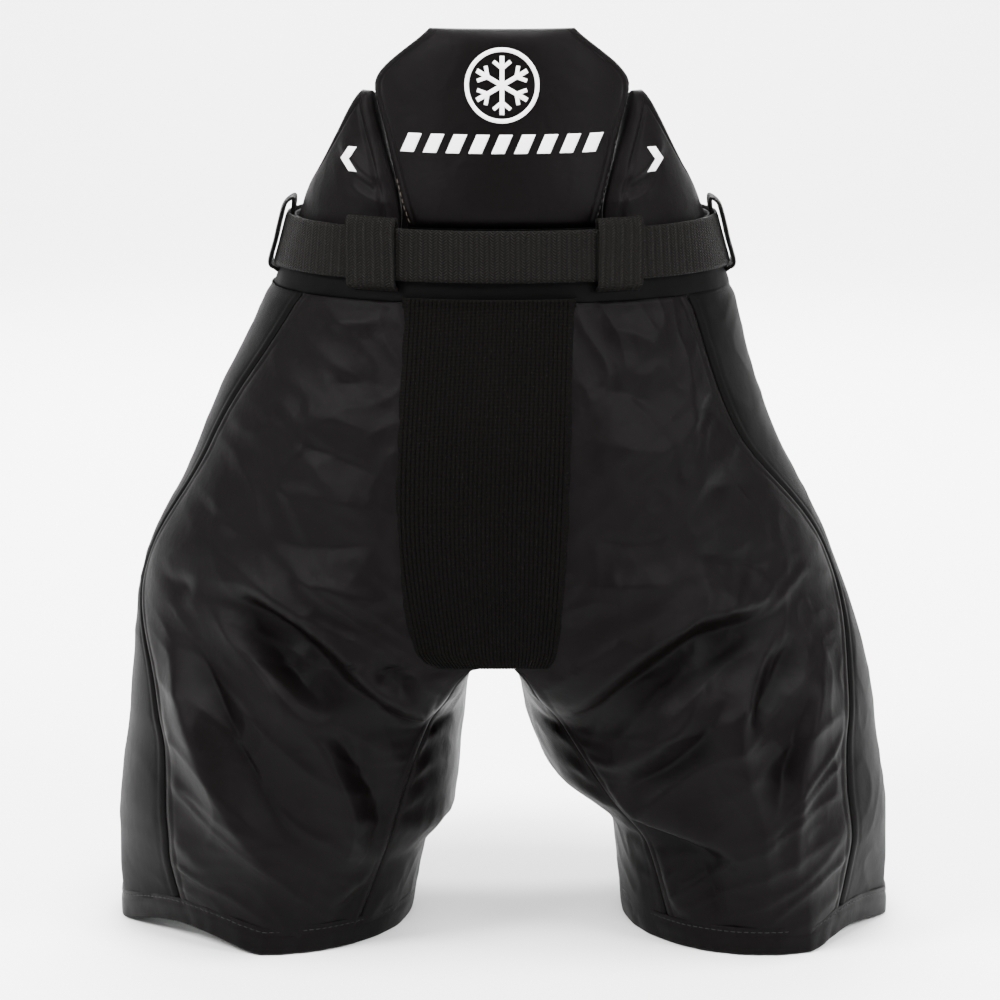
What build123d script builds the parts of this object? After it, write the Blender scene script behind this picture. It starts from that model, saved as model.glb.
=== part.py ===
from build123d import *
import math
import os

# Youth ice-hockey pants, standing on both leg hems. Millimetres.
# X is the wearer's right, the back of the garment faces -Y, Z is up from the hems.

# ---------------------------------------------------------------- driving dimensions
TOP_Z = 460.0            # top of the spine pad
BAND_Z = (326.0, 368.0)  # waistband
BELT_Z = (338.0, 363.0)  # 25 mm webbing belt
SHELL_TOP_Z = 325.6      # top edge of the nylon shell, under the waistband
HEM_H = 15.0
HIP_Z = 195.0            # height of the line the legs turn about
SEAM = 0.3               # gap between neighbouring sewn pieces

# Half widths and half depths of the garment at its own stations.
TOP_SIZE = (85, 70)      # where the outline ends, above the spine pad
PAD_SIZE = (92, 75)      # across the top of the kidney pads
BELT_SIZE = (103, 81)    # top of the waistband
WAIST_SIZE = (115, 85)   # foot of the waistband
SEAT_SIZE = (145, 102)
HIP_SIZE = (170, 104)    # at the line the legs turn about
CROTCH_SIZE = (185, 99)
PELVIS = [
    (140, *CROTCH_SIZE), (HIP_Z, *HIP_SIZE), (250, *SEAT_SIZE), (BAND_Z[0], *WAIST_SIZE),
    (BAND_Z[1], *BELT_SIZE), (410, *PAD_SIZE), (480, *TOP_SIZE),
]
PELVIS_ROWS = 18         # one row every 20 mm, so one lies at HALF_LOW

# Leg outline below the crotch: height, inner x, outer x, half depth. The hems span 400.
LEG = [(0, 56, 199, 83), (50, 44, 197, 88), (100, 20, 190, 94), (144, 12, 184, 99)]
LEG_ROWS = 9
LEG_TOP = 144.0          # the round leg ends here
HALF_LOW = 160.0         # the leg has turned into half of the pelvis here
INNER_ARC = 130.0        # the leg's inner edge starts this many degrees from +X
HALF_GAP = 0.2           # half of the gap between the left and right halves
THROUGH = 3.0            # how far a hollow's solid passes the centre plane
HALF_TOP = 345.0

# Layers, as depths under the outer surface.
SKIN = (0.0, 1.0)
SEAT = (0.0, 1.6)
PLATE = (1.4, 3.2)
FOAM = (3.6, 11.6)
LINING = (12.0, 13.0)
BAND = (0.0, 1.6)
BELT = (-3.6, -1.7)
LOOP = (-5.6, -4.0)
PAD = (2.0, 16.0)
PAD_SKIN = 1.0

SEAT_OUTLINE = [
    (-42, 325.6), (42, 325.6), (46, 280), (46, 230), (43, 190), (37, 152),
    (33, 147.5), (-33, 147.5), (-37, 152), (-43, 190), (-46, 230), (-46, 280),
]
SPINE_OUTLINE = [
    (-49, 366.4), (-66, 430), (-39, TOP_Z), (39, TOP_Z), (66, 430), (49, 366.4),
]
KIDNEY_OUTLINE = [
    (50.4, 336.5), (50.4, 366.4), (66.6, 427), (75, 424), (86, 403), (98, 375), (125, 371),
    (125, 336.5),
]
# Where the back and side panels meet, as Y and Z, and the side and front panels, as X and Z.
BACK_SEAM = [(-40, 350), (-30, 240), (-30, 200), (-58, 125), (-72, -5)]
SIDE_X = 92.0            # everything of the side panel is outside this
FRONT_SEAM = [(60, 350), (66, 300), (84, 240), (104, 180), (112, 120), (118, -5)]
INNER_PANEL_Y = 38.0     # half depth of the inner thigh panel
GUSSET_Z = (144.6, 146.0)
GUSSET_X = 26.0

BACK_LOOP_X = (50.0, 73.0)
FRONT_LOOP_X = (65.0, 87.0)
SIDE_LOOP_Y = (-12.0, 10.0)
LOOP_Z = (328.5, 371.0)
TAIL_END_X = 60.0        # the belt's free end stops short of the front loop
LOOP_HOLE_Z = (336.8, 364.2)

FLAP_X = (-24.0, 22.0)
FLAP_Z = (238.0, 316.0)
FLAP = (-2.6, -1.4)
HOOK = (-1.4, -0.9)
LOOP_TAPE = (-0.5, -0.1)
TAPE_X = (-22.0, -6.0)

BUCKLE_Y = (88.4, 91.0)
BUCKLE_X = 21.0
PIVOT = (9.0, 93.6)      # x and y of the cam lever's pin
PIN_R = 1.25
WAIST_CURVE = 63.0       # the waist's front curves about a line this far behind the middle
FAR = 400.0


# ---------------------------------------------------------------- outline solids
def profile(rows, column):
    """A smooth curve through one column of an outline table, by height."""
    zs = [r[0] for r in rows]
    vs = [r[column] for r in rows]
    steps = [(v1 - v0) / (z1 - z0) for z0, z1, v0, v1 in zip(zs, zs[1:], vs, vs[1:])]
    slopes = [steps[0]]
    for s0, s1 in zip(steps, steps[1:]):
        slopes.append(2 * s0 * s1 / (s0 + s1) if s0 * s1 > 0 else 0.0)
    slopes.append(steps[-1])

    def value(z):
        i = 0
        while i < len(zs) - 2 and z > zs[i + 1]:
            i += 1
        h = zs[i + 1] - zs[i]
        t = (z - zs[i]) / h
        ends = (2 * t**3 - 3 * t**2 + 1) * vs[i] + (3 * t**2 - 2 * t**3) * vs[i + 1]
        pulls = (t**3 - 2 * t**2 + t) * slopes[i] + (t**3 - t**2) * slopes[i + 1]
        return ends + h * pulls

    return value


pelvis_a = profile(PELVIS, 1)
pelvis_b = profile(PELVIS, 2)
leg_in = profile(LEG, 1)
leg_out = profile(LEG, 2)
leg_b = profile(LEG, 3)


def spaced(low, high, count):
    return [low + (high - low) * i / (count - 1) for i in range(count)]


def oval(z, cx, a, b):
    return (Plane(origin=(cx, 0, z)) * Ellipse(a, b)).faces()[0].outer_wire()


def arc(z, cx, a, b, start, stop):
    plane = Plane(origin=(cx, 0, z))
    return Edge.make_ellipse(a, b, plane, start, stop, AngularDirection.COUNTER_CLOCKWISE)


def pelvis_solid(depth):
    """The pelvis and waist outline as a solid, taken in by a depth."""
    rows = spaced(PELVIS[0][0], PELVIS[-1][0], PELVIS_ROWS)
    return Solid.make_loft([oval(z, 0, pelvis_a(z) - depth, pelvis_b(z) - depth) for z in rows])


def leg_oval(z, depth):
    """Centre, half width and half depth of the right leg at a height."""
    middle = (leg_in(z) + leg_out(z)) / 2
    return middle, (leg_out(z) - leg_in(z)) / 2 - depth, leg_b(z) - depth


def leg_solid(depth):
    return Solid.make_loft([oval(z, *leg_oval(z, depth)) for z in spaced(0, LEG_TOP, LEG_ROWS)])


def between_edges(low_edge, high_edge, part, z, count):
    """An edge part of the way from one edge to another."""
    points = []
    for i in range(count):
        p = low_edge @ (i / (count - 1))
        q = high_edge @ (i / (count - 1))
        points.append(Vector(p.X + (q.X - p.X) * part, p.Y + (q.Y - p.Y) * part, z))
    return Edge.make_spline(points)


def crotch_solid(depth):
    """Carries the round top of the leg into the half oval of the pelvis."""
    flat = HALF_GAP if depth <= 0 else -THROUGH
    middle, a, b = leg_oval(LEG_TOP, depth)
    half_a, half_b = pelvis_a(HALF_LOW) - depth, pelvis_b(HALF_LOW) - depth
    turn = math.degrees(math.acos(flat / half_a))
    low_far = arc(LEG_TOP, middle, a, b, -INNER_ARC, INNER_ARC)
    low_near = arc(LEG_TOP, middle, a, b, INNER_ARC, 360 - INNER_ARC)
    high_far = arc(HALF_LOW, 0, half_a, half_b, -turn, turn)
    high_near = Edge.make_line(high_far @ 1, high_far @ 0)
    wires = [Wire([low_far, low_near])]
    for part in (1 / 3, 2 / 3):
        z = LEG_TOP + (HALF_LOW - LEG_TOP) * part
        far = between_edges(low_far, high_far, part, z, 25)
        near = between_edges(low_near, high_near, part, z, 9)
        wires.append(Wire([far, near]))
    wires.append(Wire([high_far, high_near]))
    return Solid.make_loft(wires, True)


def half_solid(depth):
    """The right leg and its half of the pelvis, taken in by a depth."""
    flat = HALF_GAP if depth <= 0 else -THROUGH
    top = pelvis(depth) & block(flat, FAR, -FAR, FAR, HALF_LOW, HALF_TOP)
    return leg_solid(depth) + crotch_solid(depth) + top


def block(x0, x1, y0, y1, z0, z1):
    """A box between two corners, used to keep or remove a region."""
    return Pos((x0 + x1) / 2, (y0 + y1) / 2, (z0 + z1) / 2) * Box(x1 - x0, y1 - y0, z1 - z0)


def slab(z0, z1):
    return block(-FAR, FAR, -FAR, FAR, z0, z1)


def prism(points, y0, y1):
    """An outline of X and Z points, carried from y0 to y1."""
    face = make_face(Polyline(*[(x, y0, z) for x, z in points], close=True))
    return extrude(face, amount=y1 - y0, dir=(0, 1, 0))


def prism_yz(points, x0, x1):
    """An outline of Y and Z points, carried from x0 to x1."""
    face = make_face(Polyline(*[(x0, y, z) for y, z in points], close=True))
    return extrude(face, amount=x1 - x0, dir=(1, 0, 0))


def moved_outline(points, gap):
    """An outline moved outward by a gap, inward when the gap is negative."""
    flat = make_face(Polyline(*[(x, z) for x, z in points], close=True))
    wire = offset(flat, gap, kind=Kind.INTERSECTION).faces()[0].outer_wire()
    return [((edge @ 0).X, (edge @ 0).Y) for edge in wire.order_edges()]


made = {}


def pelvis(depth):
    if ("pelvis", depth) not in made:
        made["pelvis", depth] = pelvis_solid(depth)
    return made["pelvis", depth]


def half(depth):
    if ("half", depth) not in made:
        made["half", depth] = half_solid(depth)
    return made["half", depth]


def pelvis_ring(layer):
    return pelvis(layer[0]) - pelvis(layer[1])


def half_ring(layer):
    return half(layer[0]) - half(layer[1])


def ring_part(layer, region):
    """The piece of one pelvis layer inside a region."""
    return (pelvis(layer[0]) & region) - pelvis(layer[1])


def half_part(layer, region):
    """The piece of one leg layer inside a region."""
    return (half(layer[0]) & region) - half(layer[1])


# ---------------------------------------------------------------- saving
def save(name, shape):
    solids = shape.solids()
    box = shape.bounding_box()
    print(f"{name:22s} solids {len(solids)} volume {shape.volume:9.0f} "
          f"z {box.min.Z:6.1f} {box.max.Z:6.1f}")
    export_step(solids[0] if len(solids) == 1 else Compound(solids), f"parts/{name}.step")


def save_pair(name, shape):
    """Saves a right-hand piece and its mirror image."""
    save(name + "_right", shape)
    save(name + "_left", mirror(shape, about=Plane.YZ))


# ---------------------------------------------------------------- waist and belt
def waistband():
    return ring_part(BAND, slab(*BAND_Z))


def belt_webbing():
    gap = block(-2.5, 2.5, 0, FAR, *BAND_Z)
    return ring_part(BELT, slab(*BELT_Z)) - gap


def belt_tail():
    """The belt's free end, out through the buckle and back over the belt."""
    return ring_part((-5.7, -3.8), block(-TAIL_END_X, -BUCKLE_X - 1, 0, FAR, *BELT_Z))


def belt_keeper():
    """A loop round the belt and its tail, which slides along them."""
    turned = Pos(0, -WAIST_CURVE, 0) * Rot(0, 0, 19)
    outer = turned * block(-5.5, 5.5, 0, FAR, 335.4, 365.6)
    hole = turned * block(-9, 9, 0, FAR, 337.4, 363.6)
    return ring_part((-7.2, -0.35), outer) - ring_part((-6.1, -1.3), hole)


def belt_loop(region):
    """A strap sewn to the waistband above and below the belt."""
    hole = region & slab(*LOOP_HOLE_Z)
    return ring_part((LOOP[0], -0.15), region & slab(*LOOP_Z)) - ring_part((LOOP[1], 0.5), hole)


def belt_loops():
    save_pair("belt_loop_back", belt_loop(block(*BACK_LOOP_X, -FAR, 0, 300, 400)))
    save_pair("belt_loop_side", belt_loop(block(0, FAR, *SIDE_LOOP_Y, 300, 400)))
    save_pair("belt_loop_front", belt_loop(block(*FRONT_LOOP_X, 0, FAR, 300, 400)))


def buckle():
    """A flat frame over the belt's ends, with a cam lever on a steel pin."""
    x, y = PIVOT
    middle = sum(BELT_Z) / 2
    frame = block(-BUCKLE_X, BUCKLE_X, *BUCKLE_Y, BELT_Z[0] - 5, BELT_Z[1] + 5)
    frame = frame - block(-BUCKLE_X + 5, x - 5, 80, 95, BELT_Z[0], BELT_Z[1])
    frame = frame - block(x + 4, BUCKLE_X - 3, 80, 95, BELT_Z[0], BELT_Z[1])
    frame = fillet(frame.edges().filter_by(Axis.Y), 1.4)
    pin = Pos(x, y, middle) * Cylinder(PIN_R, 34)
    for z in (BELT_Z[0] - 3.2, BELT_Z[1] + 3.2):
        ear = Pos(x, y, z) * Cylinder(3.2, 3)
        ear = ear + block(x - 3.2, x + 3.2, BUCKLE_Y[1] - 0.5, y, z - 1.5, z + 1.5)
        frame = frame + ear
    frame = frame - Pos(x, y, middle) * Cylinder(PIN_R + 0.02, 60)
    save("buckle_frame", frame)
    save("buckle_pin", pin)

    width = BELT_Z[1] - BELT_Z[0] - 1.6
    lever = Pos(x, y, middle) * Cylinder(2.5, width)
    arm = block(-BUCKLE_X + 1, x, y - 0.3, y + 2.5, middle - width / 2, middle + width / 2)
    lip = block(-BUCKLE_X - 2, -BUCKLE_X + 3, y + 0.8, y + 3.4, middle - 8, middle + 8)
    lever = lever + arm + lip - Pos(x, y, middle) * Cylinder(PIN_R + 0.08, 60)
    save("buckle_lever", lever)


# ---------------------------------------------------------------- back pads
def pad(name, points, bottom_z):
    """A cover open along its sewn lower edge, with a plate and foam inside."""
    low = min(z for x, z in points)
    inside = moved_outline(points, -PAD_SKIN)
    inside = [(x, bottom_z - 5 if z < low + PAD_SKIN + 0.1 else z) for x, z in inside]
    cover = ring_part(PAD, prism(points, -FAR, 0))
    hollow = ring_part((PAD[0] + PAD_SKIN, PAD[1] - PAD_SKIN), prism(inside, -FAR, 0.5))
    cover = cover - hollow
    plate = ring_part((PAD[0] + 1.4, PAD[0] + 3.4), prism(moved_outline(points, -7), -FAR, -6))
    foam = ring_part((PAD[0] + 3.8, PAD[1] - 1.4), prism(moved_outline(points, -1.8), -FAR, -2))
    return [(name + "_cover", cover), (name + "_plate", plate), (name + "_foam", foam)]


def back_pads():
    for name, shape in pad("spine_pad", SPINE_OUTLINE, SPINE_OUTLINE[0][1]):
        save(name, shape)
    for name, shape in pad("kidney_pad", KIDNEY_OUTLINE, KIDNEY_OUTLINE[0][1]):
        save_pair(name, shape)
    save("lumbar_pad", ring_part((2.0, 10.0), block(-50, 50, -FAR, 0, 336.5, 364.2)))


def prints():
    """Flat printed marks: a six-armed flake in a ring, a row of slanted bars, chevrons."""
    layer = (1.5, 1.9)
    centre = 432.0
    face_ring = Circle(18) - Circle(16)
    for i in range(6):
        arm = Pos(0, 7) * Rectangle(2.2, 14)
        for side in (-1, 1):
            arm = arm + Pos(side * 1.8, 9.5) * Rot(0, 0, -side * 50) * Rectangle(1.8, 6)
        face_ring = face_ring + Rot(0, 0, 60 * i) * arm
    flake = extrude(Pos(0, 0, centre) * Rot(90, 0, 0) * face_ring, amount=200, dir=(0, -1, 0))
    save("spine_emblem", ring_part(layer, flake))

    band = ring_part(layer, block(-60, 60, -FAR, 0, 396, 412))
    bars = []
    for i in range(9):
        x = -44 + 11 * i
        points = [(x - 5.2, 399.5), (x + 1.2, 399.5), (x + 5.2, 408.5), (x - 1.2, 408.5)]
        bars += (band & prism(points, -FAR, 0)).solids()
    save("spine_stripe", Compound(bars))
    tip = [(75, 395), (79, 395), (83, 401), (79, 407), (75, 407), (79, 401)]
    save_pair("kidney_chevron", ring_part(layer, prism(tip, -FAR, 0)))


# ---------------------------------------------------------------- shell
def panel_regions():
    """The regions of the right half's back, side, front and inner thigh panels."""
    gap = SEAM / 2
    front_line = [(x - gap, z) for x, z in FRONT_SEAM]
    side_front_line = [(x + gap, z) for x, z in FRONT_SEAM]
    low, high = BACK_SEAM[-1][1], BACK_SEAM[0][1]
    inner = block(0, SIDE_X, -INNER_PANEL_Y, INNER_PANEL_Y, HEM_H, GUSSET_Z[0])
    around = block(-1, SIDE_X + SEAM, -INNER_PANEL_Y - SEAM, INNER_PANEL_Y + SEAM, 0,
                   GUSSET_Z[0] + SEAM)
    seat = prism(moved_outline(SEAT_OUTLINE, SEAM), -FAR, 0)
    side_back = [(y + gap, z) for y, z in BACK_SEAM]
    taken = [(y - gap, z) for y, z in BACK_SEAM]
    back = block(-5, FAR, -FAR, -gap, low, high) - around - seat
    back = back - prism_yz([(5, high)] + taken + [(5, low)], SIDE_X - 0.5, FAR + 1)
    side = prism_yz([(0, high)] + side_back + [(0, low)], SIDE_X, FAR)
    side = side + prism([(FAR, high)] + side_front_line + [(FAR, low)], 0, FAR)
    front = prism([(-5, low)] + front_line[::-1] + [(-5, high)], gap, FAR) - around
    return {"back_panel": back, "side_panel": side, "front_panel": front,
            "inner_thigh_panel": inner}


def shell():
    skin = half_ring(SKIN) & slab(HEM_H + SEAM, SHELL_TOP_Z)
    for name, region in panel_regions().items():
        save_pair(name, skin & region)
    save("seat_stretch_panel", ring_part(SEAT, prism(SEAT_OUTLINE, -FAR, 0)))
    gusset = pelvis(0.5) & block(-GUSSET_X, GUSSET_X, -FAR, FAR, *GUSSET_Z)
    right_leg = half(-SEAM)
    save("crotch_gusset", gusset - right_leg - mirror(right_leg, about=Plane.YZ))


def hems():
    save_pair("hem_band", half_part((-0.6, 1.2), slab(0, HEM_H)))
    save_pair("hem_facing", half_part((1.5, 2.3), slab(0.6, 12)))


# ---------------------------------------------------------------- lining and guards
def linings():
    tube = (half(LINING[0]) & slab(4, 120)) + (half(2.7) & slab(3, 4))
    save_pair("leg_lining", tube - half(LINING[1]))
    tube = (pelvis(LINING[0]) & slab(214, 333)) + (pelvis(2.0) & slab(333, 334))
    save("hip_lining", tube - pelvis(LINING[1]))


def guards():
    save_pair("thigh_plate", half_part(PLATE, block(92, FAR, 4, FAR, 26, 140)))
    save_pair("thigh_foam", half_part(FOAM, block(84, FAR, -4, FAR, 22, 142)))
    save_pair("hip_plate", ring_part(PLATE, block(0, FAR, -50, 62, 222, 322)))
    save_pair("hip_foam", ring_part(FOAM, block(0, FAR, -56, 68, 217, 330)))
    save("tailbone_plate", ring_part((2.2, 4.0), block(-34, 34, -FAR, 0, 240, 316)))
    save("tailbone_foam", ring_part((4.4, 11.6), block(-42, 42, -FAR, 0, 230, 322)))


# ---------------------------------------------------------------- fly
def fly():
    save("fly_flap", ring_part(FLAP, block(*FLAP_X, 0, FAR, *FLAP_Z)))
    tape = block(*TAPE_X, 0, FAR, FLAP_Z[0] + 4, FLAP_Z[1] - 4)
    save("hook_tape", ring_part(HOOK, tape))
    save("loop_tape", ring_part(LOOP_TAPE, tape))
    save("fly_underlap", ring_part((1.4, 2.4), block(-22, 22, 0, FAR, 222, 322)))


os.makedirs("parts", exist_ok=True)
save("waistband", waistband())
save("belt_webbing", belt_webbing())
save("belt_tail", belt_tail())
save("belt_keeper", belt_keeper())
belt_loops()
buckle()
back_pads()
prints()
shell()
hems()
linings()
guards()
fly()
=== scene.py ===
import math

import bmesh
import bpy
import mathutils
import numpy as np
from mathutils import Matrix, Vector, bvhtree


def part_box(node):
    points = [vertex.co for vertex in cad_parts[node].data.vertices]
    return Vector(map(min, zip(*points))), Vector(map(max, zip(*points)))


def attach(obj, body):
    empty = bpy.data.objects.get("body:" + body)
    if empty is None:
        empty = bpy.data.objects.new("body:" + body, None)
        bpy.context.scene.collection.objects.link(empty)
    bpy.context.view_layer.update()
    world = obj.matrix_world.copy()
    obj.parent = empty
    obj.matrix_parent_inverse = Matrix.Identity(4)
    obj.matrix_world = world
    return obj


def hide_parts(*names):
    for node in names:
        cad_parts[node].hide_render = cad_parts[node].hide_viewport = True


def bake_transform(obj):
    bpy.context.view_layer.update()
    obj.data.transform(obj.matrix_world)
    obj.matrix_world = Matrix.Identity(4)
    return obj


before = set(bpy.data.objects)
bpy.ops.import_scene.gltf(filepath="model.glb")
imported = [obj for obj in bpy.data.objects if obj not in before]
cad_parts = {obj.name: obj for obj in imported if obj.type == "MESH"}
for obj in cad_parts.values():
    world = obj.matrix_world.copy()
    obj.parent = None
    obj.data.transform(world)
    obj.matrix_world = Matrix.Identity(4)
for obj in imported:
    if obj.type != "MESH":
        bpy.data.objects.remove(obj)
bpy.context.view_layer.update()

MM = 0.001
SIDES = {"left": -1.0, "right": 1.0}
RNG = np.random.default_rng(7)

# Sizes and heights are in millimetres, unless a comment says metres.
BAND_Z = (326.0, 368.0)
BELT_Z = (338.0, 363.0)
SHELL_TOP = 327.5
CROTCH_Z = 149.0
HEM_H = 15.0
HIP_Z = 195.0
CLOTH = 0.7               # thickness of the shell and lining cloth
FLOOR_GAP = 0.8


# ---- curves
def curve(table, column=1):
    """A smooth monotone curve through a table of (height, value) rows, for arrays."""
    rows = sorted(table)
    z = np.array([r[0] for r in rows], float)
    v = np.array([r[column] for r in rows], float)
    step = np.diff(v) / np.diff(z)
    slope = np.empty_like(v)
    slope[0], slope[-1] = step[0], step[-1]
    product = step[:-1] * step[1:]
    total = step[:-1] + step[1:]
    slope[1:-1] = np.where(product > 0, 2 * product / np.where(total == 0, 1, total), 0)

    def value(at):
        at = np.clip(np.asarray(at, float), z[0], z[-1])
        i = np.clip(np.searchsorted(z, at) - 1, 0, len(z) - 2)
        h = z[i + 1] - z[i]
        t = (at - z[i]) / h
        ends = (2 * t**3 - 3 * t**2 + 1) * v[i] + (3 * t**2 - 2 * t**3) * v[i + 1]
        return ends + h * ((t**3 - 2 * t**2 + t) * slope[i] + (t**3 - t**2) * slope[i + 1])

    return value


def smooth(low, high, at):
    t = np.clip((np.asarray(at, float) - low) / (high - low), 0, 1)
    return t * t * (3 - 2 * t)


def bell(at, centre, width):
    return np.exp(-(((np.asarray(at, float) - centre) / width) ** 2))


def unit(vectors):
    return vectors / np.maximum(np.linalg.norm(vectors, axis=-1, keepdims=True), 1e-9)


# ---- noise
NOISE_SIZE = 512
TABLE = RNG.permutation(NOISE_SIZE)
TURNS = RNG.uniform(0, 2 * math.pi, NOISE_SIZE)


def noise(x, y, seed=0):
    """Smooth gradient noise in two directions, about -1 to 1."""
    x, y = np.broadcast_arrays(np.asarray(x, float), np.asarray(y, float))
    ix, iy = np.floor(x).astype(int), np.floor(y).astype(int)
    fx, fy = x - ix, y - iy
    ux = fx**3 * (fx * (fx * 6 - 15) + 10)
    uy = fy**3 * (fy * (fy * 6 - 15) + 10)

    def corner(dx, dy):
        pick = TABLE[(ix + dx + 31 * seed) % NOISE_SIZE]
        turn = TURNS[(pick + iy + dy + 57 * seed) % NOISE_SIZE]
        return np.cos(turn) * (fx - dx) + np.sin(turn) * (fy - dy)

    low = corner(0, 0) * (1 - ux) + corner(1, 0) * ux
    high = corner(0, 1) * (1 - ux) + corner(1, 1) * ux
    return 1.5 * (low * (1 - uy) + high * uy)


def creases(x, y, seed=0):
    """Sharp-topped wrinkles from folded noise, 0 to 1."""
    warp = 0.6 * noise(x * 0.5, y * 0.5, seed + 3)
    return (1 - np.abs(noise(x + warp, y - warp, seed))) ** 3


# ---- outline of the waist
def size(node, corner, axis):
    """One coordinate of a CAD node's box, in mm: corner 0 is the lowest and 1 the highest."""
    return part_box(node)[corner][axis] / MM


# Half widths and half depths at the garment's own stations. The waist and the hems are the
# frame's, and the others are the design's.
WAIST_SIZE = (size("waistband", 1, 0), size("waistband", 1, 1))
HEM_SIZE = (size("hem_band_right", 1, 0) - 0.6, size("hem_band_right", 1, 1) - 2.0)
HEM_INNER = size("hem_band_right", 0, 0) + 0.6
CROTCH_SIZE, HIP_SIZE, SEAT_SIZE = (185, 99), (170, 104), (145, 102)
BELT_SIZE, PAD_SIZE, TOP_SIZE = (103, 81), (92, 75), (85, 70)
PELVIS = [
    (140, *CROTCH_SIZE), (HIP_Z, *HIP_SIZE), (250, *SEAT_SIZE), (BAND_Z[0], *WAIST_SIZE),
    (BAND_Z[1], *BELT_SIZE), (410, *PAD_SIZE), (480, *TOP_SIZE),
]
waist_a = curve(PELVIS, 1)
waist_b = curve(PELVIS, 2)


def on_waist(angle, z, depth):
    """A point of the waist oval; angle is from +X, in radians; depth is inward, in mm."""
    a, b = waist_a(z), waist_b(z)
    x, y = a * np.cos(angle), b * np.sin(angle)
    n = unit(np.stack([np.cos(angle) / a, np.sin(angle) / b], -1))
    depth = np.broadcast_to(depth, x.shape)
    return np.stack([x - depth * n[..., 0], y - depth * n[..., 1],
                     np.broadcast_to(z, x.shape)], -1)


def front_angle(x, z):
    """The angle of a point of the front at that x."""
    return np.arccos(np.clip(np.asarray(x, float) / waist_a(z), -1, 1))


def back_angle(x, z):
    return -front_angle(x, z)


# ---- mesh building
def add_object(name, data):
    obj = bpy.data.objects.new(name, data)
    bpy.context.scene.collection.objects.link(obj)
    return obj


def make_object(name, points, faces, uv=None):
    """A smooth-shaded object from points, faces that all have as many sides, and cloth lengths."""
    mesh = bpy.data.meshes.new(name)
    points = np.asarray(points, float).reshape(-1, 3) * MM
    faces = np.asarray(faces, np.int32)
    mesh.vertices.add(len(points))
    mesh.vertices.foreach_set("co", points.ravel())
    mesh.loops.add(faces.size)
    mesh.loops.foreach_set("vertex_index", faces.ravel())
    mesh.polygons.add(len(faces))
    starts = np.arange(0, faces.size, faces.shape[1], dtype=np.int32)
    mesh.polygons.foreach_set("loop_start", starts)
    mesh.update(calc_edges=True)
    mesh.validate()
    if uv is not None:
        layer = mesh.uv_layers.new(name="cloth")
        flat_uv = np.asarray(uv, float).reshape(-1, 2) * MM
        layer.data.foreach_set("uv", flat_uv[faces.ravel()].ravel())
    mesh.polygons.foreach_set("use_smooth", np.ones(len(faces), bool))
    return add_object(name, mesh)


def grid_faces(rows, cols, wrap=False, flip=False, first=0):
    across = cols if wrap else cols - 1
    r, c = np.meshgrid(np.arange(rows - 1), np.arange(across), indexing="ij")
    n = (c + 1) % cols
    quads = np.stack([r * cols + c, r * cols + n, (r + 1) * cols + n, (r + 1) * cols + c], -1)
    quads = quads.reshape(-1, 4) + first
    return quads[:, ::-1] if flip else quads


def cloth_uv(points):
    """Lengths along the rows and columns of a grid of points, in mm."""
    along = np.linalg.norm(np.diff(points, axis=1), axis=-1)
    up = np.linalg.norm(np.diff(points, axis=0), axis=-1)
    u = np.concatenate([np.zeros((len(points), 1)), np.cumsum(along, 1)], 1)
    v = np.concatenate([np.zeros((1, points.shape[1])), np.cumsum(up, 0)], 0)
    u = u - u[:, u.shape[1] // 2][:, None]
    return np.stack([u, v], -1)


def normals(points, wrap=False):
    """Unit normals of a grid of points, pointing away from column direction x row direction."""
    if wrap:
        along = np.roll(points, -1, 1) - np.roll(points, 1, 1)
    else:
        along = np.gradient(points, axis=1)
    return unit(np.cross(along, np.gradient(points, axis=0)))


def facing(n, outward):
    """Normals turned to point the way of outward."""
    return n * np.sign(np.sum(n * outward, -1, keepdims=True) + 1e-12)


def sheet_grid(name, points, wrap=False, flip=False):
    rows, cols = points.shape[:2]
    return make_object(name, points, grid_faces(rows, cols, wrap, flip), cloth_uv(points))


def closed_grid(name, outer, inner, wrap=False, flip=False):
    """A closed thin body from two matching grids, joined round their edges."""
    rows, cols = outer.shape[:2]
    count = rows * cols
    faces = [grid_faces(rows, cols, wrap, flip),
             grid_faces(rows, cols, wrap, not flip, first=count)]

    def rim(line, turned):
        a, b = line[:-1], line[1:]
        quads = np.stack([a, b, b + count, a + count], -1)
        return quads[:, ::-1] if turned else quads

    index = np.arange(count).reshape(rows, cols)
    bottom, top = index[0], index[-1]
    if wrap:
        bottom, top = np.append(bottom, bottom[0]), np.append(top, top[0])
    faces += [rim(bottom, not flip), rim(top, flip)]
    if not wrap:
        faces += [rim(index[:, 0], flip), rim(index[:, -1], not flip)]
    points = np.concatenate([outer.reshape(-1, 3), inner.reshape(-1, 3)])
    uv = np.concatenate([cloth_uv(outer).reshape(-1, 2), cloth_uv(inner).reshape(-1, 2)])
    return make_object(name, points, np.concatenate(faces), uv)


def clustered(count, strength=0.5):
    """Values from 0 to 1, closer together near both ends."""
    s = np.linspace(0, 1, count)
    return s * (1 - strength) + strength * (0.5 - 0.5 * np.cos(math.pi * s))


# ---- materials
def rgba(colour):
    """An opaque colour, from one grey value or from red, green and blue."""
    return (colour, colour, colour, 1) if np.isscalar(colour) else (*colour, 1)


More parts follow.
